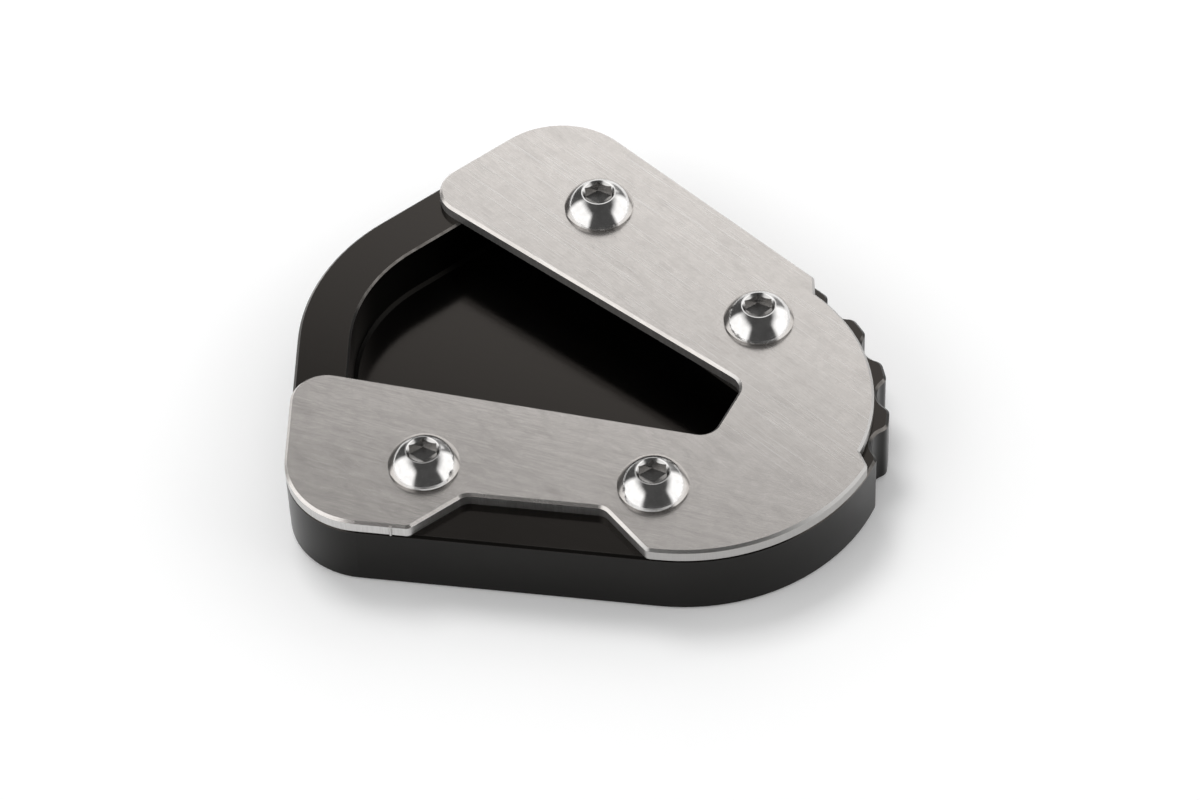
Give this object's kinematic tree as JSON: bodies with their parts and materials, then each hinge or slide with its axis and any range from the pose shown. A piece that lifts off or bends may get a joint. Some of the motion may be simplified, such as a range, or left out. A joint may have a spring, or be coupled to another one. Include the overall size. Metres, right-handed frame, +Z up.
{
  "type": "kickstand foot enlarger",
  "caption": "Motorcycle side stand foot enlarger: a black anodised pocketed base with a scalloped nose, and a brushed stainless V plate clamped on it by button head screws.",
  "frame": {"origin": "on the sole, at the middle of the footprint", "axes": "+X along the slot towards the round nose, +Y to the left, towards the scalloped side of the nose, +Z up, away from the ground"},
  "size_m": [0.091, 0.086, 0.0163],
  "materials": {
    "anodised_black": "black anodised, satin gloss",
    "brushed_stainless": "fine linear brush",
    "polished_stainless": "polished"
  },
  "bodies": {
    "root": {"base": "anodised_black", "clamp_plate": "brushed_stainless", "screw_front_left": "polished_stainless", "screw_front_right": "polished_stainless", "screw_rear_left": "polished_stainless", "screw_rear_right": "polished_stainless"}
  },
  "joints": []
}
